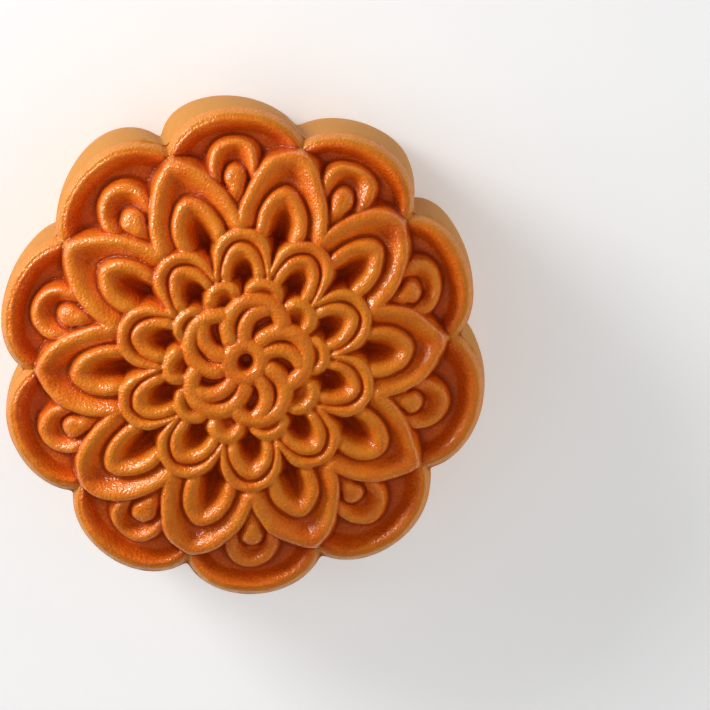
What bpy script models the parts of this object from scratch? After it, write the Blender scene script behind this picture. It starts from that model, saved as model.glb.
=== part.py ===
"""Mooncake: one baked, moulded pastry with a deep flower relief on its top.

Units are metres, +Z is up, and the origin is the centre of the flat base.
All sizes below are in millimetres and are scaled once, when the mesh is made.
"""
import bmesh
import bpy
import numpy as np
from math import cos, pi, radians, sin

for old in list(bpy.data.objects):
    bpy.data.objects.remove(old, do_unlink=True)

MM = 0.001

# ---- body -------------------------------------------------------------
LOBES = 10                # scallops round the edge
LOBE_TURN = 20.0          # bearing of the first lobe, degrees
PETAL_TURN = 2.0          # bearing of the first petal, between two lobes
HEIGHT = 34.0             # base to the crest line at the middle
DOME_R = 41.0             # radius that the two dome sags refer to
DOME_SAG_2 = 3.8          # crest line falls this much with (r / R) ** 2
DOME_SAG_4 = 5.2          # and this much with (r / R) ** 4
LOBE_HALF = 11.7          # lobe outline: half width
LOBE_LENGTH = 8.95        # lobe outline: length of the rounded end
LOBE_BASE = 31.7          # where the rounded end starts
SHOULDER_Z = 24.6         # where the side meets the moulded top
RIM_INSET = 1.3           # width of the rim's outer band
RIM_Z = 26.6              # crest height of the rim
RIM_REACH = 2.5           # width of the rim's inner slope
FLOOR_Z = 24.3            # floor between rim and flower
BULGE = 0.35              # how far the side swells past the shoulder
SPREAD = 0.45             # how much wider the foot is than the shoulder
BASE_ROUND = 3.2          # radius at the foot of the side
FLUTE_GROWTH = 0.11       # the flutes are this much deeper at the foot

# ---- flower: (half width, length of tip, base line of tip, pointedness) --
HOOD = (4.35, 4.4, 31.1, 0.0)      # small hood on each lobe
BUD = (29.4, 1.85, 25.4, 1.35)    # bud: where its ball is, radius; stem end, half width
LARGE = (7.2, 12.6, 21.5, 2.4)    # outer petal, between the lobes
LARGE_IN = (3.75, 6.3, 22.0, 1.3)  # petal nested in it
MEDIUM = (4.5, 4.75, 16.9, 0.6)    # inner ring of petals, on the lobes
MEDIUM_IN = (3.25, 5.2, 14.2, 0.9)  # petal nested in it

SCALLOP = (3.3, 3.2, 10.6, 0.0)   # ring of small horseshoes round the rosette

# ---- rosette: two rolled strands to a petal, round a ring with a hole ----
TWIRLS = 5
OUTER = (1.5, 5.5, 4.42, 205.0, 6.0, 1.5)    # centre, radius, arc, half width
INNER = (3.9, 4.4, 4.03, 187.0, 97.0, 1.36)
RING_R = 2.7              # crest of the ring in the middle
RING_HALF = 1.5
PIT_DEPTH = 3.0           # between the strands
HOLE_DEPTH = 4.4

# ---- unevenness of a pressed and baked cake -----------------------------
OVAL = 0.0236             # stretched along one diagonal
OVAL_TURN = 59.3          # bearing of that diagonal, degrees
GROWTH = 1.005            # size against the nominal pattern
TWIST = 0.0158            # turn of the whole pattern, radians
# The pressed pattern drifts sideways: radius, then drift along x and y.
DRIFT = ((0.0, 0.15, -0.55), (12.0, 0.3, -0.45), (18.0, 0.45, -0.55),
         (27.0, -0.1, -0.65), (35.0, -0.95, -0.6), (42.0, -1.3, -0.8))
LEAN_R = 35.0             # radius that the tables below refer to
# Each lobe's growth outwards and shift round the edge, lobe by lobe.
RIM_GROWTH = (-1.4, -0.3, -0.6, -0.4, -0.1, 0.9, 1.1, 0.6, 0.2, -0.6)
RIM_SHIFT = (2.0, -0.2, 0.5, 0.3, 2.8, 0.9, 0.9, -0.4, 0.0, 0.8)
# What the foot of each lobe adds to that.
FOOT_GROWTH = (-0.7, -0.2, -0.3, 0.8, 0.0, 0.5, 0.0, 0.0, 0.0, -0.3)
FOOT_SHIFT = (1.6, -0.8, 4.2, 0.5, -0.7, -0.8, 0.0, 0.0, 0.0, 0.5)
# The same for the medium petals and the hoods, which lie on the lobes,
MEDIUM_GROWTH = (0.1, 0.1, 0.1, -0.1, 0.0, 0.5, 0.2, 0.3, 0.0, 0.3)
MEDIUM_SHIFT = (0.2, 0.5, 0.2, -0.3, 0.0, -0.1, -0.5, 0.3, 0.0, 0.1)
HOOD_GROWTH = (-0.3, 0.8, 0.6, 0.0, 0.0, -0.6, -0.1, 0.0, 0.0, 0.0)
HOOD_SHIFT = (-0.3, 0.3, -0.2, 0.0, -0.2, 0.2, -0.1, 0.0, 0.0, 0.0)
# and for the large petals, which lie between them.
PETAL_GROWTH = (-0.6, 0.3, -0.1, -0.9, -0.4, 0.2, 0.2, -0.3, -0.4, -0.2)
PETAL_SHIFT = (-0.7, 0.3, 0.9, -0.2, 0.1, 0.5, -0.4, 0.7, 1.2, 0.2)

# ---- mesh ---------------------------------------------------------------
RINGS = 120               # rings of the fine relief grid
SPOKES = 600              # points round it
TARGET_TRIANGLES = 9400   # after thinning the grid


def smooth(t):
    t = np.clip(t, 0.0, 1.0)
    return t * t * (3.0 - 2.0 * t)


def fold(x, y, turn, count):
    """Coordinates (across, along) in the frame of the nearest of the axes."""
    step = 2.0 * pi / count
    a = np.arctan2(y, x) - radians(turn)
    a = a - np.round(a / step) * step
    r = np.hypot(x, y)
    return -r * np.sin(a), r * np.cos(a)


def inset(u, v, shape):
    """Distance inside a petal outline: an arch on straight sides."""
    half, length, base, point = shape
    a = half + point
    b = length / np.sqrt(1.0 - (point / a) ** 2)
    p = np.sqrt(u * u + 0.16) - 0.4 + point if point else np.abs(u)
    t = np.maximum(v - base, 0.0)
    rho = np.sqrt((p / a) ** 2 + (t / b) ** 2 + 1e-6)
    grad = np.sqrt((p / a ** 2) ** 2 + (t / b ** 2) ** 2 + 1e-6 / a ** 2)
    return rho * (1.0 - rho) / grad


def crest_line(r):
    t = r / DOME_R
    return HEIGHT - DOME_SAG_2 * t ** 2 - DOME_SAG_4 * t ** 4


def soft_most(a, b, width):
    """The greater of the two, with the corner between them rounded."""
    h = np.clip(0.5 + 0.5 * (a - b) / width, 0.0, 1.0)
    return b + (a - b) * h + width * h * (1.0 - h)


def lay(z, d, env, crest, slope, fall, moat=0.3, ditch=1.0, turn=0.45):
    """Put one petal over what lies below it.

    It has a rounded crest just inside its outline, then falls ever steeper
    to its floor.  A moat sinks the ground just outside.
    """
    z = z - moat * (1.0 - smooth(-d / ditch))
    t = np.clip(1.0 - d / crest, 0.0, 0.99)
    edge = crest * (1.0 - np.sqrt(1.0 - t * t)) + 4.5 * np.maximum(-d, 0.0)
    x = np.maximum(d - crest, 0.0)
    bowl = -soft_most(-slope * (np.sqrt(x * x + turn * turn) - turn), -fall, 0.6)
    top = env - edge - bowl
    over = soft_most(z, top, 0.45)
    return over + (top - over) * smooth(d / 0.6)


def arc_distance(u, v, arc):
    """Distance to an arc that runs clockwise from start to end, degrees."""
    cx, cy, radius, start, end, half = arc
    a = np.degrees(np.arctan2(v - cy, u - cx))
    a = np.where(a < -90.0, a + 360.0, a)
    a = np.radians(np.clip(a, end, start))
    return np.hypot(u - cx - radius * np.cos(a), v - cy - radius * np.sin(a))


def strand(d, half):
    """How far a rolled strand's skin lies below its crest."""
    t = np.clip(d / half, 0.0, 0.995)
    return 1.25 * half * (1.0 - np.sqrt(1.0 - t * t)) + 5.0 * np.maximum(d - half, 0.0)


def rosette(x, y, z):
    """Five swirling petals of rolled strands round a ring with a hole."""
    r = np.hypot(x, y)
    outline = RING_R + RING_HALF - r
    drop = strand(np.abs(r - RING_R), RING_HALF)
    for k in range(TWIRLS):
        a = radians(72.0 * k)
        u = x * cos(a) + y * sin(a)
        v = -x * sin(a) + y * cos(a)
        outline = np.maximum(
            outline, OUTER[2] + OUTER[5] - np.hypot(u - OUTER[0], v - OUTER[1]))
        for arc in (OUTER, INNER):
            drop = -soft_most(-drop, -strand(arc_distance(u, v, arc), arc[5]), 0.30)
    pit = PIT_DEPTH + (HOLE_DEPTH - PIT_DEPTH) * smooth((RING_R - r) / 1.0)
    drop = -soft_most(-drop, -pit, 0.4)
    top = crest_line(r) + 0.1 - drop - 6.0 * np.maximum(-outline, 0.0)
    z = z - 0.4 * (1.0 - smooth(-outline / 1.0))
    over = soft_most(z, top, 0.25)
    return over + (top - over) * smooth(outline / 0.5)


def relief(x, y):
    """Height of the moulded top over a point, millimetres."""
    r = np.hypot(x, y)
    lu, lv = fold(x, y, LOBE_TURN, LOBES)
    pu, pv = fold(x, y, PETAL_TURN, LOBES)
    env = crest_line(r)

    # Rim: an outer band, a crease, then a rolled slope to the floor.
    d = inset(lu, lv, (LOBE_HALF, LOBE_LENGTH, LOBE_BASE, 0.0))
    t = np.clip(d / RIM_INSET, 0.0, 1.0)
    z = SHOULDER_Z + (RIM_Z - SHOULDER_Z) * (1.0 - (1.0 - t) ** 1.4)
    z = z - 0.24 * np.exp(-((d - RIM_INSET) / 0.26) ** 2)
    t = np.clip((d - RIM_INSET - 0.45) / RIM_REACH, 0.0, 1.0)
    z = z - (RIM_Z - FLOOR_Z) * smooth(t ** 1.1)

    # Hood and bud on each lobe; the bud sinks towards the middle.
    d = inset(lu, lv, HOOD)
    z = lay(z, d, env - 0.8, 0.8, 1.7, 2.3, turn=1.1)
    d = soft_most(BUD[1] - np.hypot(lu, lv - BUD[0]),
                  BUD[3] - np.hypot(lu, lv - np.clip(lv, BUD[2], BUD[0])), 0.5)
    z = lay(z, d, env - 0.4 - 1.4 * smooth((28.0 - lv) / 3.0), 1.4, 0.0, 0.0, 0.8, 0.8)

    # Ten large petals, each with one nested in it.
    d = inset(pu, pv, LARGE)
    z = lay(z, d, env, 0.8, 1.6, 2.4, turn=1.9)
    z = z - 0.5 * smooth((d - 3.2) / 2.5)
    d = inset(pu, pv, LARGE_IN)
    z = lay(z, d, env - 0.2, 0.85, 1.5, 2.9, turn=1.5)
    z = z - 4.0 * smooth((26.0 - pv) / 7.0) * smooth((d - 1.8) / 2.0)

    # Ten medium petals, each with one nested in it.
    d = inset(lu, lv, MEDIUM)
    z = lay(z, d, env, 0.8, 1.2, 1.5, turn=0.7)
    d = inset(lu, lv, MEDIUM_IN)
    z = lay(z, d, env - 0.1, 0.85, 1.5, 2.7, 0.6, 0.7, 1.1)
    z = z - 3.6 * smooth((17.0 - lv) / 3.6) * smooth((d - 1.4) / 1.4)

    # Small horseshoes, open towards the middle, then the rosette.
    d = inset(pu, pv, SCALLOP)
    z = lay(z, d, env, 1.15, 1.5, 2.2)
    return rosette(x, y, z)


def outline_radius(a):
    """Plan radius of the shoulder at polar angle a: ten lobes, soft notches."""
    step = 2.0 * pi / LOBES
    b = a - radians(LOBE_TURN)
    b = b - np.round(b / step) * step
    total = 0.0
    for k in (-1, 0, 1):
        c = b - k * step
        s, q = np.sin(c) / LOBE_HALF, np.cos(c) / LOBE_LENGTH
        m = LOBE_BASE / LOBE_LENGTH
        aa, bb = s * s + q * q, -2.0 * q * m
        root = np.sqrt(np.maximum(bb * bb - 4.0 * aa * (m * m - 1.0), 0.0))
        total = total + np.exp((-bb + root) / (2.0 * aa) / 0.55)
    return 0.55 * np.log(total)


def uneven(values, a, turn):
    """A value per lobe or petal, blended smoothly round the cake."""
    t = ((a - radians(turn)) * LOBES / (2.0 * pi)) % LOBES
    i = np.floor(t).astype(int)
    f = smooth(t - i)
    v = np.array(values)
    return v[i % LOBES] * (1.0 - f) + v[(i + 1) % LOBES] * f


def place(x, y):
    """Where the uneven cake has a point of the even pattern."""
    r, a = np.hypot(x, y), np.arctan2(y, x)
    near = np.exp(-((r - 17.5) / 3.0) ** 2)
    out = np.exp(-((r - 33.5) / 2.6) ** 2)
    a = a + (near * uneven(MEDIUM_SHIFT, a, LOBE_TURN)
             + out * uneven(HOOD_SHIFT, a, LOBE_TURN)) / np.maximum(r, 5.0)
    r = (r + near * uneven(MEDIUM_GROWTH, a, LOBE_TURN)
         + out * uneven(HOOD_GROWTH, a, LOBE_TURN))
    far = (r / LEAN_R) ** 2
    b = a + TWIST + far * uneven(PETAL_SHIFT, a, PETAL_TURN) / LEAN_R
    q = r + far * uneven(PETAL_GROWTH, a, PETAL_TURN)
    c, s = cos(radians(OVAL_TURN)), sin(radians(OVAL_TURN))
    fx, fy = q * np.cos(b), q * np.sin(b)
    along = (fx * c + fy * s) * (GROWTH + OVAL)
    across = (-fx * s + fy * c) * (GROWTH - OVAL)
    at, drift_x, drift_y = zip(*DRIFT)
    fx = along * c - across * s + np.interp(r, at, drift_x)
    fy = along * s + across * c + np.interp(r, at, drift_y)
    gx, gy = place_rim(r, a, 0.0)
    w = smooth((r / outline_radius(a) - 0.76) / 0.2)
    return fx + (gx - fx) * w, fy + (gy - fy) * w


def place_rim(radius, a, t):
    """Outline at height fraction t: 0 at the shoulder, 1 at the foot."""
    r = radius + uneven(RIM_GROWTH, a, LOBE_TURN) + t * uneven(FOOT_GROWTH, a, LOBE_TURN)
    b = a + (uneven(RIM_SHIFT, a, LOBE_TURN)
             + t * uneven(FOOT_SHIFT, a, LOBE_TURN)) / LEAN_R
    return r * np.cos(b), r * np.sin(b)


def side_radius(edge, out, flute):
    """Plan radius on the side, from the shoulder's."""
    mean = float(np.mean(edge))
    return mean + (edge - mean) * flute + out


def side_rows():
    """(height, height fraction, outward offset, flute depth) down the side."""
    rows = []
    for k in range(1, 9):
        t = k / 9.0
        rows.append((SHOULDER_Z + (BASE_ROUND - SHOULDER_Z) * t, t,
                     BULGE * sin(pi * t) + SPREAD * t, 1.0 + FLUTE_GROWTH * t))
    for k in range(0, 6):
        a = 0.5 * pi * k / 5.0
        rows.append((BASE_ROUND * (1.0 - sin(a)), 1.0,
                     SPREAD - BASE_ROUND * (1.0 - cos(a)), 1.0 + FLUTE_GROWTH))
    return rows


def cake_mesh():
    bm = bmesh.new()
    angle = np.arange(SPOKES) * 2.0 * pi / SPOKES
    edge = outline_radius(angle)
    share = (np.arange(1, RINGS + 1) / RINGS) ** 0.9
    # The outline is uneven, so it is centred on the origin by its extent.
    side = [(z, place_rim(side_radius(edge, out, flute), angle, t))
            for z, t, out, flute in side_rows()]
    across = np.concatenate([p[0] for z, p in side])
    along = np.concatenate([p[1] for z, p in side])
    cx = 0.5 * (across.min() + across.max())
    cy = 0.5 * (along.min() + along.max())
    grid = []
    for t in share:
        # Inner rings are round, and the outer ones take up the lobed outline.
        mix = smooth((t - 0.55) / 0.45)
        radius = t * (edge * mix + DOME_R * 0.94 * (1.0 - mix))
        x, y = radius * np.cos(angle), radius * np.sin(angle)
        z = relief(x, y) if t < 1.0 else np.full_like(x, SHOULDER_Z)
        px, py = place(x, y)
        grid.append([bm.verts.new(((px[i] - cx) * MM, (py[i] - cy) * MM, z[i] * MM))
                     for i in range(SPOKES)])
    px, py = place(np.array([0.0]), np.array([0.0]))
    pz = relief(np.array([0.0]), np.array([0.0]))
    centre = bm.verts.new(((px[0] - cx) * MM, (py[0] - cy) * MM, pz[0] * MM))
    for z, (px, py) in side:
        grid.append([bm.verts.new(((px[i] - cx) * MM, (py[i] - cy) * MM, z * MM))
                     for i in range(SPOKES)])
    for i in range(SPOKES):
        j = (i + 1) % SPOKES
        bm.faces.new((centre, grid[0][i], grid[0][j]))
        for a, b in zip(grid[:-1], grid[1:]):
            bm.faces.new((a[i], b[i], b[j], a[j]))
    bm.faces.new(list(reversed(grid[-1])))
    bmesh.ops.triangulate(bm, faces=bm.faces[:])
    mesh = bpy.data.meshes.new("mooncake")
    bm.to_mesh(mesh)
    bm.free()
    return mesh


def crust_material():
    mat = bpy.data.materials.new("baked_crust")
    mat.use_nodes = True
    shader = mat.node_tree.nodes["Principled BSDF"]
    shader.inputs["Base Color"].default_value = (0.56, 0.21, 0.04, 1.0)
    shader.inputs["Roughness"].default_value = 0.42
    shader.inputs["Metallic"].default_value = 0.0
    return mat


mesh = cake_mesh()
mesh.materials.append(crust_material())
cake = bpy.data.objects.new("mooncake", mesh)
bpy.context.collection.objects.link(cake)
mesh.shade_smooth()

thin = cake.modifiers.new("thin_grid", "DECIMATE")
thin.decimate_type = "COLLAPSE"
thin.ratio = TARGET_TRIANGLES / len(mesh.polygons)
thin.use_collapse_triangulate = True
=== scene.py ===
"""Looks of the mooncake: the fine relief, its baked crust and the studio round it.

The relief's functions are those of the CAD source, with finer unevenness on top.
Sizes are in millimetres and are scaled once, when the mesh is made.
"""
from math import cos, pi, radians, sin

import bpy
import numpy as np
from mathutils import Matrix, Vector


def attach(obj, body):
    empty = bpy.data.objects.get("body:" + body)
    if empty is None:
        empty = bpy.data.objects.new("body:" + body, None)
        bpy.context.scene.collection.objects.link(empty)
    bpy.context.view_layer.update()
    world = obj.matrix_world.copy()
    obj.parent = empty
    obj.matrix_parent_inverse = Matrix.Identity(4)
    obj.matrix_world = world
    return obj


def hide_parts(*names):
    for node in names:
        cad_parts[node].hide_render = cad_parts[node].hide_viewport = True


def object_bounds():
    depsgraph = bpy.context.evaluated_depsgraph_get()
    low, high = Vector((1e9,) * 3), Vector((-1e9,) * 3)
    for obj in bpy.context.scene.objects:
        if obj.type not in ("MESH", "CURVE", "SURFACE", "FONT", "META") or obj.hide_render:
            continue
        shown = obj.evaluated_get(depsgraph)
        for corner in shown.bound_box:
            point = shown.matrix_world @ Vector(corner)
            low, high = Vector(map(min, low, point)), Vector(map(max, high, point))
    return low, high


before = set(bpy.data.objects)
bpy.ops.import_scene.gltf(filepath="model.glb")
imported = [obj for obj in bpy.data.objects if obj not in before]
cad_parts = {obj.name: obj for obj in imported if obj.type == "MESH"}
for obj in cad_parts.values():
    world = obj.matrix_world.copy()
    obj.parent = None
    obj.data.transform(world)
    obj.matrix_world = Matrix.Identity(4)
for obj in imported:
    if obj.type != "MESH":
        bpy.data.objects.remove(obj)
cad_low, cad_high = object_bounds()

MM = 0.001

# ---- body -------------------------------------------------------------
LOBES = 10                # scallops round the edge
LOBE_TURN = 20.0          # bearing of the first lobe, degrees
PETAL_TURN = 2.0          # bearing of the first petal, between two lobes
HEIGHT = 34.0             # base to the crest line at the middle
DOME_R = 41.0             # radius that the two dome sags refer to
DOME_SAG_2 = 3.8          # crest line falls this much with (r / R) ** 2
DOME_SAG_4 = 5.2          # and this much with (r / R) ** 4
LOBE_HALF = 11.7          # lobe outline: half width
LOBE_LENGTH = 8.95        # lobe outline: length of the rounded end
LOBE_BASE = 31.7          # where the rounded end starts
SHOULDER_Z = 24.6         # where the side meets the moulded top
RIM_INSET = 1.3           # width of the rim's outer band
RIM_Z = 26.6              # crest height of the rim
RIM_REACH = 2.5           # width of the rim's inner slope
FLOOR_Z = 24.3            # floor between rim and flower
BULGE = 0.35              # how far the side swells past the shoulder
SPREAD = 0.45             # how much wider the foot is than the shoulder
BASE_ROUND = 3.2          # radius at the foot of the side
FLUTE_GROWTH = 0.11       # the flutes are this much deeper at the foot

# ---- flower: (half width, length of tip, base line of tip, pointedness) --
HOOD = (4.35, 4.4, 31.1, 0.0)      # small hood on each lobe
BUD = (29.4, 1.85, 25.4, 1.35)    # bud: where its ball is, radius; stem end, half width
LARGE = (7.2, 12.6, 21.5, 2.4)    # outer petal, between the lobes
LARGE_IN = (3.75, 6.3, 22.0, 1.3)  # petal nested in it
MEDIUM = (4.5, 4.75, 16.9, 0.6)    # inner ring of petals, on the lobes
MEDIUM_IN = (3.25, 5.2, 14.2, 0.9)  # petal nested in it

SCALLOP = (3.3, 3.2, 10.6, 0.0)   # ring of small horseshoes round the rosette

# ---- rosette: two rolled strands to a petal, round a ring with a hole ----
TWIRLS = 5
OUTER = (1.5, 5.5, 4.42, 205.0, 6.0, 1.5)    # centre, radius, arc, half width
INNER = (3.9, 4.4, 4.03, 187.0, 97.0, 1.36)
RING_R = 2.7              # crest of the ring in the middle
RING_HALF = 1.5
PIT_DEPTH = 3.0           # between the strands
HOLE_DEPTH = 4.4

# ---- unevenness of a pressed and baked cake -----------------------------
OVAL = 0.0236             # stretched along one diagonal
OVAL_TURN = 59.3          # bearing of that diagonal, degrees
GROWTH = 1.005            # size against the nominal pattern
TWIST = 0.0158            # turn of the whole pattern, radians
# The pressed pattern drifts sideways: radius, then drift along x and y.
DRIFT = ((0.0, 0.15, -0.55), (12.0, 0.3, -0.45), (18.0, 0.45, -0.55),
         (27.0, -0.1, -0.65), (35.0, -0.95, -0.6), (42.0, -1.3, -0.8))
LEAN_R = 35.0             # radius that the tables below refer to
# Each lobe's growth outwards and shift round the edge, lobe by lobe.
RIM_GROWTH = (-1.4, -0.3, -0.6, -0.4, -0.1, 0.9, 1.1, 0.6, 0.2, -0.6)
RIM_SHIFT = (2.0, -0.2, 0.5, 0.3, 2.8, 0.9, 0.9, -0.4, 0.0, 0.8)
# What the foot of each lobe adds to that.
FOOT_GROWTH = (-0.7, -0.2, -0.3, 0.8, 0.0, 0.5, 0.0, 0.0, 0.0, -0.3)
FOOT_SHIFT = (1.6, -0.8, 4.2, 0.5, -0.7, -0.8, 0.0, 0.0, 0.0, 0.5)
# The same for the medium petals and the hoods, which lie on the lobes,
MEDIUM_GROWTH = (0.1, 0.1, 0.1, -0.1, 0.0, 0.5, 0.2, 0.3, 0.0, 0.3)
MEDIUM_SHIFT = (0.2, 0.5, 0.2, -0.3, 0.0, -0.1, -0.5, 0.3, 0.0, 0.1)
HOOD_GROWTH = (-0.3, 0.8, 0.6, 0.0, 0.0, -0.6, -0.1, 0.0, 0.0, 0.0)
HOOD_SHIFT = (-0.3, 0.3, -0.2, 0.0, -0.2, 0.2, -0.1, 0.0, 0.0, 0.0)
# and for the large petals, which lie between them.
PETAL_GROWTH = (-0.6, 0.3, -0.1, -0.9, -0.4, 0.2, 0.2, -0.3, -0.4, -0.2)
PETAL_SHIFT = (-0.7, 0.3, 0.9, -0.2, 0.1, 0.5, -0.4, 0.7, 1.2, 0.2)

# ---- fine mesh ----------------------------------------------------------
RING_STEP = 0.13          # spacing of the rings of the fine grid
TARGET_TRIANGLES = 188000


def smooth(t):
    t = np.clip(t, 0.0, 1.0)
    return t * t * (3.0 - 2.0 * t)


def lattice(i, j, seed):
    """A repeatable number in -1..1 for each lattice point."""
    n = (i.astype(np.int64) * 374761393 + j.astype(np.int64) * 668265263
         + seed * 974634777) & 0x7FFFFFFF
    n = ((n ^ (n >> 13)) * 1274126177) & 0x7FFFFFFF
    return ((n ^ (n >> 16)) & 0xFFFF) / 32767.5 - 1.0


def noise(x, y, size, seed):
    """Smooth value noise, -1..1, with bumps of about the given size."""
    x, y = x / size, y / size
    i, j = np.floor(x), np.floor(y)
    u, v = x - i, y - j
    u, v = u ** 3 * (u * (6 * u - 15) + 10), v ** 3 * (v * (6 * v - 15) + 10)
    a, b = lattice(i, j, seed), lattice(i + 1, j, seed)
    c, d = lattice(i, j + 1, seed), lattice(i + 1, j + 1, seed)
    return (a * (1 - u) + b * u) * (1 - v) + (c * (1 - u) + d * u) * v


def fold(x, y, turn, count):
    """Coordinates (across, along) in the frame of the nearest of the axes."""
    step = 2.0 * pi / count
    a = np.arctan2(y, x) - radians(turn)
    a = a - np.round(a / step) * step
    r = np.hypot(x, y)
    return -r * np.sin(a), r * np.cos(a)


def inset(u, v, shape):
    """Distance inside a petal outline: an arch on straight sides."""
    half, length, base, point = shape
    a = half + point
    b = length / np.sqrt(1.0 - (point / a) ** 2)
    p = np.sqrt(u * u + 0.16) - 0.4 + point if point else np.abs(u)
    t = np.maximum(v - base, 0.0)
    rho = np.sqrt((p / a) ** 2 + (t / b) ** 2 + 1e-6)
    grad = np.sqrt((p / a ** 2) ** 2 + (t / b ** 2) ** 2 + 1e-6 / a ** 2)
    return rho * (1.0 - rho) / grad


def crest_line(r):
    t = r / DOME_R
    return HEIGHT - DOME_SAG_2 * t ** 2 - DOME_SAG_4 * t ** 4


def soft_most(a, b, width):
    """The greater of the two, with the corner between them rounded."""
    h = np.clip(0.5 + 0.5 * (a - b) / width, 0.0, 1.0)
    return b + (a - b) * h + width * h * (1.0 - h)


def lay(z, d, env, crest, slope, fall, moat=0.3, ditch=1.0, turn=0.45):
    """Put one petal over what lies below it.

    It has a rounded crest just inside its outline, then falls ever steeper
    to its floor.  A moat sinks the ground just outside.
    """
    z = z - moat * (1.0 - smooth(-d / ditch))
    t = np.clip(1.0 - d / crest, 0.0, 0.99)
    edge = crest * (1.0 - np.sqrt(1.0 - t * t)) + 4.5 * np.maximum(-d, 0.0)
    x = np.maximum(d - crest, 0.0)
    bowl = -soft_most(-slope * (np.sqrt(x * x + turn * turn) - turn), -fall, 0.6)
    top = env - edge - bowl
    over = soft_most(z, top, 0.45)
    return over + (top - over) * smooth(d / 0.6)


def arc_distance(u, v, arc):
    """Distance to an arc that runs clockwise from start to end, degrees."""
    cx, cy, radius, start, end, half = arc
    a = np.degrees(np.arctan2(v - cy, u - cx))
    a = np.where(a < -90.0, a + 360.0, a)
    a = np.radians(np.clip(a, end, start))
    return np.hypot(u - cx - radius * np.cos(a), v - cy - radius * np.sin(a))


def strand(d, half):
    """How far a rolled strand's skin lies below its crest."""
    t = np.clip(d / half, 0.0, 0.995)
    return 1.25 * half * (1.0 - np.sqrt(1.0 - t * t)) + 5.0 * np.maximum(d - half, 0.0)


def rosette(x, y, z):
    """Five swirling petals of rolled strands round a ring with a hole."""
    r = np.hypot(x, y)
    outline = RING_R + RING_HALF - r
    drop = strand(np.abs(r - RING_R), RING_HALF)
    for k in range(TWIRLS):
        a = radians(72.0 * k)
        u = x * cos(a) + y * sin(a)
        v = -x * sin(a) + y * cos(a)
        outline = np.maximum(
            outline, OUTER[2] + OUTER[5] - np.hypot(u - OUTER[0], v - OUTER[1]))
        for arc in (OUTER, INNER):
            drop = -soft_most(-drop, -strand(arc_distance(u, v, arc), arc[5]), 0.30)
    pit = PIT_DEPTH + (HOLE_DEPTH - PIT_DEPTH) * smooth((RING_R - r) / 1.0)
    drop = -soft_most(-drop, -pit, 0.4)
    top = crest_line(r) + 0.1 - drop - 6.0 * np.maximum(-outline, 0.0)
    z = z - 0.4 * (1.0 - smooth(-outline / 1.0))
    over = soft_most(z, top, 0.25)
    return over + (top - over) * smooth(outline / 0.5)


def relief(x, y):
    """Height of the moulded top over a point, millimetres."""
    r = np.hypot(x, y)
    lu, lv = fold(x, y, LOBE_TURN, LOBES)
    pu, pv = fold(x, y, PETAL_TURN, LOBES)
    env = crest_line(r)

    # Rim: an outer band, a crease, then a rolled slope to the floor.
    d = inset(lu, lv, (LOBE_HALF, LOBE_LENGTH, LOBE_BASE, 0.0))
    t = np.clip(d / RIM_INSET, 0.0, 1.0)
    z = SHOULDER_Z + (RIM_Z - SHOULDER_Z) * (1.0 - (1.0 - t) ** 1.4)
    z = z - 0.24 * np.exp(-((d - RIM_INSET) / 0.26) ** 2)
    t = np.clip((d - RIM_INSET - 0.45) / RIM_REACH, 0.0, 1.0)
    z = z - (RIM_Z - FLOOR_Z) * smooth(t ** 1.1)

    # Hood and bud on each lobe; the bud sinks towards the middle.
    d = inset(lu, lv, HOOD)
    z = lay(z, d, env - 0.8, 0.8, 1.7, 2.3, turn=1.1)
    d = soft_most(BUD[1] - np.hypot(lu, lv - BUD[0]),
                  BUD[3] - np.hypot(lu, lv - np.clip(lv, BUD[2], BUD[0])), 0.5)
    z = lay(z, d, env - 0.4 - 1.4 * smooth((28.0 - lv) / 3.0), 1.4, 0.0, 0.0, 0.8, 0.8)

    # Ten large petals, each with one nested in it.
    d = inset(pu, pv, LARGE)
    z = lay(z, d, env, 0.8, 1.6, 2.4, turn=1.9)
    z = z - 0.5 * smooth((d - 3.2) / 2.5)
    d = inset(pu, pv, LARGE_IN)
    z = lay(z, d, env - 0.2, 0.85, 1.5, 2.9, turn=1.5)
    z = z - 4.0 * smooth((26.0 - pv) / 7.0) * smooth((d - 1.8) / 2.0)

    # Ten medium petals, each with one nested in it.
    d = inset(lu, lv, MEDIUM)
    z = lay(z, d, env, 0.8, 1.2, 1.5, turn=0.7)
    d = inset(lu, lv, MEDIUM_IN)
    z = lay(z, d, env - 0.1, 0.85, 1.5, 2.7, 0.6, 0.7, 1.1)
    z = z - 3.6 * smooth((17.0 - lv) / 3.6) * smooth((d - 1.4) / 1.4)

    # Small horseshoes, open towards the middle, then the rosette.
    d = inset(pu, pv, SCALLOP)
    z = lay(z, d, env, 1.15, 1.5, 2.2)
    return rosette(x, y, z)


def outline_radius(a):
    """Plan radius of the shoulder at polar angle a: ten lobes, soft notches."""
    step = 2.0 * pi / LOBES
    b = a - radians(LOBE_TURN)
    b = b - np.round(b / step) * step
    total = 0.0
    for k in (-1, 0, 1):
        c = b - k * step
        s, q = np.sin(c) / LOBE_HALF, np.cos(c) / LOBE_LENGTH
        m = LOBE_BASE / LOBE_LENGTH
        aa, bb = s * s + q * q, -2.0 * q * m
        root = np.sqrt(np.maximum(bb * bb - 4.0 * aa * (m * m - 1.0), 0.0))
        total = total + np.exp((-bb + root) / (2.0 * aa) / 0.55)
    return 0.55 * np.log(total)


def uneven(values, a, turn):
    """A value per lobe or petal, blended smoothly round the cake."""
    t = ((a - radians(turn)) * LOBES / (2.0 * pi)) % LOBES
    i = np.floor(t).astype(int)
    f = smooth(t - i)
    v = np.array(values)
    return v[i % LOBES] * (1.0 - f) + v[(i + 1) % LOBES] * f


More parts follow.
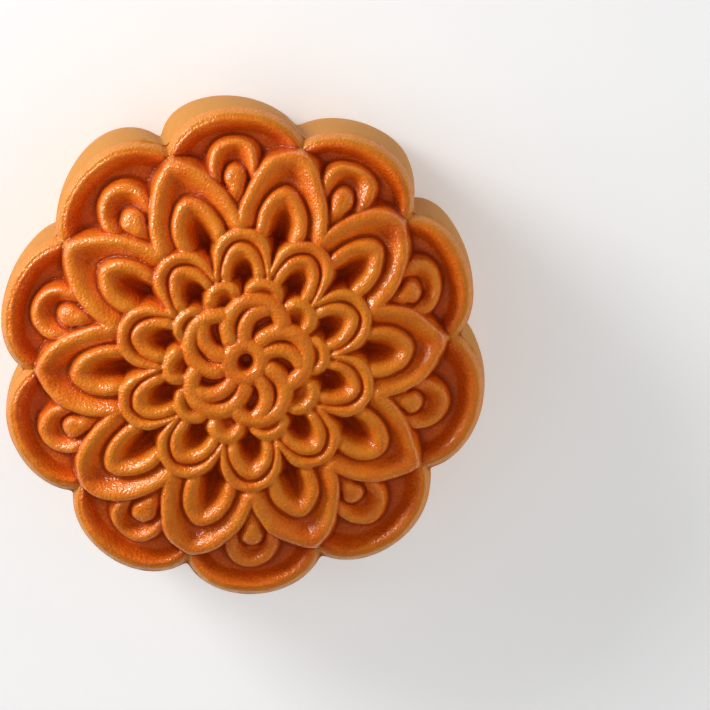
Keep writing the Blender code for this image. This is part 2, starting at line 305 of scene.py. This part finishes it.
def place(x, y):
    """Where the uneven cake has a point of the even pattern."""
    r, a = np.hypot(x, y), np.arctan2(y, x)
    near = np.exp(-((r - 17.5) / 3.0) ** 2)
    out = np.exp(-((r - 33.5) / 2.6) ** 2)
    a = a + (near * uneven(MEDIUM_SHIFT, a, LOBE_TURN)
             + out * uneven(HOOD_SHIFT, a, LOBE_TURN)) / np.maximum(r, 5.0)
    r = (r + near * uneven(MEDIUM_GROWTH, a, LOBE_TURN)
         + out * uneven(HOOD_GROWTH, a, LOBE_TURN))
    far = (r / LEAN_R) ** 2
    b = a + TWIST + far * uneven(PETAL_SHIFT, a, PETAL_TURN) / LEAN_R
    q = r + far * uneven(PETAL_GROWTH, a, PETAL_TURN)
    c, s = cos(radians(OVAL_TURN)), sin(radians(OVAL_TURN))
    fx, fy = q * np.cos(b), q * np.sin(b)
    along = (fx * c + fy * s) * (GROWTH + OVAL)
    across = (-fx * s + fy * c) * (GROWTH - OVAL)
    at, drift_x, drift_y = zip(*DRIFT)
    fx = along * c - across * s + np.interp(r, at, drift_x)
    fy = along * s + across * c + np.interp(r, at, drift_y)
    gx, gy = place_rim(r, a, 0.0)
    w = smooth((r / outline_radius(a) - 0.76) / 0.2)
    return fx + (gx - fx) * w, fy + (gy - fy) * w


def place_rim(radius, a, t):
    """Outline at height fraction t: 0 at the shoulder, 1 at the foot."""
    r = radius + uneven(RIM_GROWTH, a, LOBE_TURN) + t * uneven(FOOT_GROWTH, a, LOBE_TURN)
    b = a + (uneven(RIM_SHIFT, a, LOBE_TURN)
             + t * uneven(FOOT_SHIFT, a, LOBE_TURN)) / LEAN_R
    return r * np.cos(b), r * np.sin(b)


def side_radius(edge, out, flute, mean):
    return mean + (edge - mean) * flute + out


def side_rows(steps, corner):
    """(height, height fraction, outward offset, flute depth) down the side."""
    rows = []
    for k in range(1, steps):
        t = k / float(steps)
        rows.append((SHOULDER_Z + (BASE_ROUND - SHOULDER_Z) * t, t,
                     BULGE * sin(pi * t) + SPREAD * t, 1.0 + FLUTE_GROWTH * t))
    for k in range(0, corner + 1):
        a = 0.5 * pi * k / corner
        rows.append((BASE_ROUND * (1.0 - sin(a)), 1.0,
                     SPREAD - BASE_ROUND * (1.0 - cos(a)), 1.0 + FLUTE_GROWTH))
    return rows


def centre_offset():
    """The uneven outline is centred on the origin by its extent, as in CAD."""
    angle = np.arange(600) * 2.0 * pi / 600
    edge = outline_radius(angle)
    mean = float(np.mean(edge))
    side = [place_rim(side_radius(edge, out, flute, mean), angle, t)
            for z, t, out, flute in side_rows(9, 5)]
    x = np.concatenate([p[0] for p in side])
    y = np.concatenate([p[1] for p in side])
    return 0.5 * (x.min() + x.max()), 0.5 * (y.min() + y.max())


OFFSET = centre_offset()


def fine_relief(x, y):
    """The relief with the small unevenness of pressed dough."""
    r = np.hypot(x, y)
    calm = 1.0 - 0.6 * smooth((r - 34.5) / 2.5)
    wx = x + calm * (0.18 * noise(x, y, 3.6, 1) + 0.05 * noise(x, y, 1.4, 2))
    wy = y + calm * (0.18 * noise(x, y, 3.6, 3) + 0.05 * noise(x, y, 1.4, 4))
    z = relief(wx, wy)
    z = z + 0.16 * noise(x, y, 4.2, 5) + 0.07 * noise(x, y, 1.7, 6)
    z = z + 0.02 * noise(x, y, 0.6, 7)
    # The unevenness never stands higher than the solid.
    return -soft_most(-z, 0.01 - cad_high[2] / MM, 0.3)


def build_cake():
    rings, counts = [], []
    n_rings = int(DOME_R / RING_STEP)
    verts, attrs = [], []
    for k in range(1, n_rings + 1):
        t = k / float(n_rings)
        r = t * DOME_R
        n = 96
        while 2.0 * pi * r / n > 0.24:
            n *= 2
        counts.append(n)
    n_edge = counts[-1]
    angle_edge = np.arange(n_edge) * 2.0 * pi / n_edge
    mean = float(np.mean(outline_radius(angle_edge)))
    px, py = place(np.array([0.0]), np.array([0.0]))
    pz = fine_relief(np.array([0.0]), np.array([0.0]))
    verts.append(np.array([[px[0], py[0], pz[0]]]))
    plan = [np.array([[0.0, 0.0]])]
    start = [0]
    total = 1
    for k, n in enumerate(counts):
        t = (k + 1) / float(n_rings)
        a = np.arange(n) * 2.0 * pi / n
        mix = smooth((t - 0.55) / 0.45)
        radius = t * (outline_radius(a) * mix + DOME_R * 0.985 * (1.0 - mix))
        x, y = radius * np.cos(a), radius * np.sin(a)
        z = fine_relief(x, y)
        if k == n_rings - 1:
            z = np.full_like(x, SHOULDER_Z)
        px, py = place(x, y)
        verts.append(np.stack([px, py, z], 1))
        plan.append(np.stack([x, y], 1))
        start.append(total)
        total += n
    edge = outline_radius(angle_edge)
    for z, t, out, flute in side_rows(30, 8):
        px, py = place_rim(side_radius(edge, out, flute, mean), angle_edge, t)
        verts.append(np.stack([px, py, np.full_like(px, z)], 1))
        plan.append(np.stack([edge * np.cos(angle_edge), edge * np.sin(angle_edge)], 1))
        start.append(total)
        counts.append(n_edge)
        total += n_edge
    co = np.concatenate(verts)
    co[:, 0] -= OFFSET[0]
    co[:, 1] -= OFFSET[1]
    plan = np.concatenate(plan)
    faces = []
    n = counts[0]
    i = np.arange(n)
    s = start[1]
    faces.append(np.stack([np.zeros(n, int), s + i, s + (i + 1) % n], 1))
    for k in range(len(counts) - 1):
        n, m, a, b = counts[k], counts[k + 1], start[k + 1], start[k + 2]
        i = np.arange(n)
        j = (i + 1) % n
        if m == n:
            faces.append(np.stack([a + i, b + i, b + j], 1))
            faces.append(np.stack([a + i, b + j, a + j], 1))
        else:
            p, q, w = b + 2 * i, b + 2 * i + 1, b + (2 * i + 2) % m
            faces.append(np.stack([a + i, p, q], 1))
            faces.append(np.stack([a + i, q, a + j], 1))
            faces.append(np.stack([a + j, q, w], 1))
    faces = np.concatenate(faces)
    last = start[-1]
    mesh = bpy.data.meshes.new("mooncake_crust")
    base = [[int(last + v) for v in range(n_edge)][::-1]]
    co[:, :2] = np.clip(co[:, :2], np.array(cad_low[:2]) / MM, np.array(cad_high[:2]) / MM)
    mesh.from_pydata((co * MM).tolist(), [], faces.tolist() + base)
    mesh.update()
    return mesh, co, plan


mesh, co, plan = build_cake()
print("fine mesh", len(mesh.vertices), len(mesh.polygons))
cake = bpy.data.objects.new("mooncake_crust", mesh)
bpy.context.scene.collection.objects.link(cake)

# ---- attributes for the crust ---------------------------------------------
depth = crest_line(np.hypot(plan[:, 0], plan[:, 1])) - co[:, 2]


def put(name, values):
    layer = mesh.attributes.new(name, "FLOAT", "POINT")
    layer.data.foreach_set("value", np.asarray(values, np.float32))


put("depth", depth)
r_plan = np.hypot(plan[:, 0], plan[:, 1])
a_plan = np.arctan2(plan[:, 1], plan[:, 0])
on_top = r_plan < outline_radius(a_plan) - 0.05
side = np.where(on_top, 0.0, 1.0)
lu, lv = fold(plan[:, 0], plan[:, 1], LOBE_TURN, LOBES)
from_edge = inset(lu, lv, (LOBE_HALF, LOBE_LENGTH, LOBE_BASE, 0.0))
here = relief(plan[:, 0], plan[:, 1])


def ring_mean(radius, spokes):
    """Mean height of the relief on a small circle round each point."""
    total = np.zeros(len(plan))
    for k in range(spokes):
        a = 2.0 * pi * (k + 0.5) / spokes
        total += relief(plan[:, 0] + radius * cos(a), plan[:, 1] + radius * sin(a))
    return total / spokes


# How far each point lies below the relief round it. The crust darkens by these, partly real
# browning and partly painted shade in hollows and creases.
hollow = ring_mean(1.6, 8) - here
dent = ring_mean(0.6, 6) - here
# Tone: browner towards the edge, on the rim's inner slope and its floor, and in the middle; paler
# on the ring of small horseshoes.
tone = (0.12 * smooth((r_plan - 26.0) / 6.0) + 0.22 * np.where(on_top, 1.0, 0.0) * smooth((4.4 - from_edge) / 1.0) * smooth((from_edge - 1.2) / 0.3) - 0.16 * np.exp(-((r_plan - 12.8) / 1.9) ** 2)
        + 0.12 * (1.0 - smooth((r_plan - 2.5) / 3.0)) + 0.04)
put("tone", tone)
put("side", side)
put("rim", np.where(on_top, from_edge, -1.0))
put("hollow", hollow * np.where(on_top, 1.0, 0.0))
put("dent", dent * np.where(on_top, 1.0, 0.0))

thin = cake.modifiers.new("thin_grid", "DECIMATE")
thin.decimate_type = "COLLAPSE"
thin.use_collapse_triangulate = True
n_tri = sum(max(len(p.vertices) - 2, 1) for p in mesh.polygons)
thin.ratio = min(1.0, TARGET_TRIANGLES / n_tri)
graph = bpy.context.evaluated_depsgraph_get()
final = bpy.data.meshes.new_from_object(cake.evaluated_get(graph))
cake.modifiers.clear()
cake.data = final
mesh = final
mesh.name = "mooncake_crust"
mesh.shade_smooth()
print("thinned", len(mesh.vertices), len(mesh.polygons), [a.name for a in mesh.attributes])


def crust_material():
    """Baked, egg-washed crust: browned and darkened with painted shade in the hollows and creases,
    pale on the side.
    """
    mat = bpy.data.materials.new("baked_crust_fine")
    mat.use_nodes = True
    tree = mat.node_tree
    shader = tree.nodes["Principled BSDF"]
    place_at = tree.nodes.new("ShaderNodeTexCoord").outputs["Object"]

    def plug(value, socket):
        if isinstance(value, (int, float, tuple)):
            socket.default_value = value
        else:
            tree.links.new(value, socket)

    def attr(name):
        node = tree.nodes.new("ShaderNodeAttribute")
        node.attribute_name = name
        return node.outputs["Fac"]

    def calc(kind, a, b=0.0, c=0.0, clamp=False):
        node = tree.nodes.new("ShaderNodeMath")
        node.operation = kind
        node.use_clamp = clamp
        for value, socket in zip((a, b, c), node.inputs):
            plug(value, socket)
        return node.outputs[0]

    def grain(size, detail=2.0, rough=0.5):
        """Noise with features of the given size in millimetres, about 0.5."""
        node = tree.nodes.new("ShaderNodeTexNoise")
        tree.links.new(place_at, node.inputs["Vector"])
        node.inputs["Scale"].default_value = 1.0 / (size * MM)
        node.inputs["Detail"].default_value = detail
        node.inputs["Roughness"].default_value = rough
        return node.outputs["Fac"]

    def span(value, low, high, to_low=0.0, to_high=1.0, soft=True):
        node = tree.nodes.new("ShaderNodeMapRange")
        node.interpolation_type = "SMOOTHSTEP" if soft else "LINEAR"
        plug(value, node.inputs["Value"])
        for key, v in (("From Min", low), ("From Max", high),
                       ("To Min", to_low), ("To Max", to_high)):
            node.inputs[key].default_value = v
        return node.outputs["Result"]

    def blend(fac, a, b, kind="MIX"):
        node = tree.nodes.new("ShaderNodeMix")
        node.data_type = "RGBA"
        node.blend_type = kind
        plug(fac, node.inputs["Factor"])
        plug(a, node.inputs["A"])
        plug(b, node.inputs["B"])
        return node.outputs["Result"]

    depth, hollow, dent = attr("depth"), attr("hollow"), attr("dent")
    side, rim = attr("side"), attr("rim")
    cloud = grain(7.0, 2.0)
    blotch = grain(2.2, 3.0, 0.6)
    speck = grain(0.42, 1.0, 0.5)
    pore = grain(0.95, 1.0, 0.5)
    cell = tree.nodes.new("ShaderNodeTexVoronoi")
    cell.feature = "SMOOTH_F1"
    cell.inputs["Smoothness"].default_value = 0.4
    cell.inputs["Scale"].default_value = 1.0 / (0.42 * MM)
    tree.links.new(place_at, cell.inputs["Vector"])
    pebble = cell.outputs["Distance"]

    # How brown, with painted shade: darker with depth below the crest line and in hollows, partly
    # real browning where egg wash pools and partly painted shade in the recesses; with clouds and
    # specks.
    browning_and_shade = calc("MULTIPLY_ADD", depth, 0.092, calc("ADD", attr("tone"), 0.25))
    browning_and_shade = calc("MULTIPLY_ADD", hollow, 0.20, browning_and_shade)
    browning_and_shade = calc("MULTIPLY_ADD", calc("SUBTRACT", cloud, 0.5), 0.9, browning_and_shade)
    browning_and_shade = calc("MULTIPLY_ADD", calc("SUBTRACT", blotch, 0.5), 0.7, browning_and_shade)
    browning_and_shade = calc("MULTIPLY_ADD", calc("SUBTRACT", speck, 0.5), 1.1, browning_and_shade)
    ramp = tree.nodes.new("ShaderNodeValToRGB")
    tree.links.new(browning_and_shade, ramp.inputs[0])
    stops = ramp.color_ramp.elements
    stops[0].position, stops[0].color = 0.0, (0.88, 0.252, 0.017, 1.0)
    stops[1].position, stops[1].color = 1.0, (0.68, 0.094, 0.004, 1.0)
    for at, colour in ((0.25, (0.89, 0.212, 0.012, 1.0)),
                       (0.5, (0.87, 0.176, 0.009, 1.0)),
                       (0.75, (0.81, 0.140, 0.006, 1.0))):
        stops.new(at).color = colour
    top = ramp.outputs[0]
    # Painted shade: dark red-brown in the narrow creases and at the foot of each wall, where shade
    # falls.
    crease_shade = span(dent, 0.06, 0.42, 0.0, 0.68)
    top = blend(crease_shade, top, (0.42, 0.042, 0.002, 1.0))

    # The band outside the rim's crest is paler.
    band = calc("MULTIPLY", span(rim, 1.45, 1.2), span(rim, -0.2, 0.05))
    paler = calc("MULTIPLY_ADD", calc("SUBTRACT", speck, 0.5), 0.8, 0.75, clamp=True)
    top = blend(calc("MULTIPLY", band, paler), top, (0.70, 0.232, 0.014, 1.0))

    # Matt side: tan, more orange at the shoulder, creamier at the foot.
    up = tree.nodes.new("ShaderNodeSeparateXYZ")
    tree.links.new(place_at, up.inputs[0])
    height = calc("MULTIPLY", up.outputs["Z"], 1000.0)
    cream = span(calc("MULTIPLY_ADD", calc("SUBTRACT", cloud, 0.5), 14.0, height), 9.0, 1.0)
    wall = blend(cream, (0.56, 0.228, 0.026, 1.0), (0.56, 0.29, 0.08, 1.0))
    tint = calc("MULTIPLY_ADD", calc("SUBTRACT", blotch, 0.5), 1.6, 0.25, clamp=True)
    wall = blend(tint, wall, (0.58, 0.185, 0.012, 1.0))
    under = span(height, 0.9, 0.1)
    wall = blend(calc("MULTIPLY", under, 0.75), wall, (0.55, 0.22, 0.06, 1.0))
    colour = blend(side, top, wall)
    plug(colour, shader.inputs["Base Color"])

    # Egg wash: glossy in patches on top, matt on the side.
    gloss = calc("MULTIPLY_ADD", calc("SUBTRACT", pore, 0.5), 0.6, 0.40)
    gloss = calc("MULTIPLY_ADD", band, 0.08, gloss)
    rough = calc("MULTIPLY_ADD", side, calc("SUBTRACT", 0.72, gloss), gloss)
    plug(rough, shader.inputs["Roughness"])
    shader.inputs["Specular IOR Level"].default_value = 0.6
    shader.inputs["Specular Tint"].default_value = (1.0, 0.84, 0.46, 1.0)
    wash = calc("MULTIPLY", calc("SUBTRACT", 1.0, side), span(blotch, 0.35, 0.6, 0.45, 1.0))
    wash = calc("MULTIPLY", wash, calc("MULTIPLY_ADD", band, -0.6, 1.0))
    plug(wash, shader.inputs["Coat Weight"])
    shader.inputs["Coat Roughness"].default_value = 0.14

    # Pitted, grainy skin.
    skin = calc("MULTIPLY_ADD", speck, 0.8, calc("MULTIPLY", pore, 0.3))
    skin = calc("MULTIPLY_ADD", pebble, -0.7, skin)
    bump = tree.nodes.new("ShaderNodeBump")
    bump.inputs["Distance"].default_value = 0.00012
    plug(calc("MULTIPLY_ADD", side, -0.45, 1.0), bump.inputs["Strength"])
    tree.links.new(skin, bump.inputs["Height"])
    tree.links.new(bump.outputs[0], shader.inputs["Normal"])
    tree.links.new(bump.outputs[0], shader.inputs["Coat Normal"])
    return mat


mesh.materials.clear()
mesh.materials.append(crust_material())
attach(cake, "root")
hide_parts("mooncake")

# ---- studio ---------------------------------------------------------------
floor_mesh = bpy.data.meshes.new("floor")
s = 3.0
floor_mesh.from_pydata([(-s, -s, 0), (s, -s, 0), (s, s, 0), (-s, s, 0)], [], [(0, 1, 2, 3)])
floor = bpy.data.objects.new("floor", floor_mesh)
floor.location.z = -0.0002
bpy.context.scene.collection.objects.link(floor)
fm = bpy.data.materials.new("pale_floor")
fm.use_nodes = True
fm.node_tree.nodes["Principled BSDF"].inputs["Base Color"].default_value = (0.86, 0.86, 0.86, 1.0)
fm.node_tree.nodes["Principled BSDF"].inputs["Roughness"].default_value = 0.8
fm.node_tree.nodes["Principled BSDF"].inputs["Emission Color"].default_value = (1.0, 1.0, 1.0, 1.0)
fm.node_tree.nodes["Principled BSDF"].inputs["Emission Strength"].default_value = 0.28
floor_mesh.materials.append(fm)

world = bpy.data.worlds.new("studio")
world.use_nodes = True
world.node_tree.nodes["Background"].inputs[0].default_value = (1.0, 1.0, 1.0, 1.0)
world.node_tree.nodes["Background"].inputs[1].default_value = 0.04
bpy.context.scene.world = world


def softbox(name, place_at, aim, size, power, colour=(1.0, 1.0, 1.0)):
    light = bpy.data.lights.new(name, "AREA")
    light.shape = "RECTANGLE"
    light.size, light.size_y = size
    light.energy = power
    light.color = colour
    ob = bpy.data.objects.new(name, light)
    bpy.context.scene.collection.objects.link(ob)
    ob.location = place_at
    ob.rotation_euler = (Vector(aim) - Vector(place_at)).to_track_quat("-Z", "Y").to_euler()
    return ob


def from_side(name, bearing, height, size, level):
    """A softbox 0.6 m away; level is what it alone gives a white surface."""
    e, a = radians(height), radians(bearing)
    at = (0.6 * cos(e) * cos(a), 0.6 * cos(e) * sin(a), 0.6 * sin(e))
    return softbox(name, at, (0, 0, 0.02), size, level * pi * pi * 0.36)


from_side("key", 143.0, 25.0, (0.20, 0.20), 0.50)
from_side("key_wide", 151.0, 17.0, (0.60, 0.26), 0.56)
for fill in (from_side("fill_edge", 5.0, 12.0, (0.60, 0.20), 0.27),
             from_side("fill_right", 30.0, 42.0, (0.45, 0.45), 0.06),
             from_side("fill_low", 310.0, 42.0, (0.50, 0.45), 0.09),
             from_side("fill_left", 190.0, 60.0, (0.45, 0.45), 0.15),
             from_side("fill_top", 330.0, 78.0, (0.45, 0.45), 0.14)):
    fill.visible_glossy = False

# ---- camera: the fitted view, looking down on the cake ---------------------
TILT = radians(9.8)
turn = Matrix.Rotation(TILT, 3, "X").transposed()
camera = bpy.data.cameras.new("camera")
camera.sensor_width = 36.0
camera.lens = 3018.9 / 710.0 * 36.0
camera.clip_start = 0.01
cam = bpy.data.objects.new("camera", camera)
bpy.context.scene.collection.objects.link(cam)
where = turn @ Vector((0.017954, -0.0050085, 0.520))
where = where - Vector((OFFSET[0] * MM, OFFSET[1] * MM, 0.0))
cam.matrix_world = Matrix.Translation(where) @ turn.to_4x4()
bpy.context.scene.camera = cam
bpy.context.scene.view_settings.view_transform = "Standard"
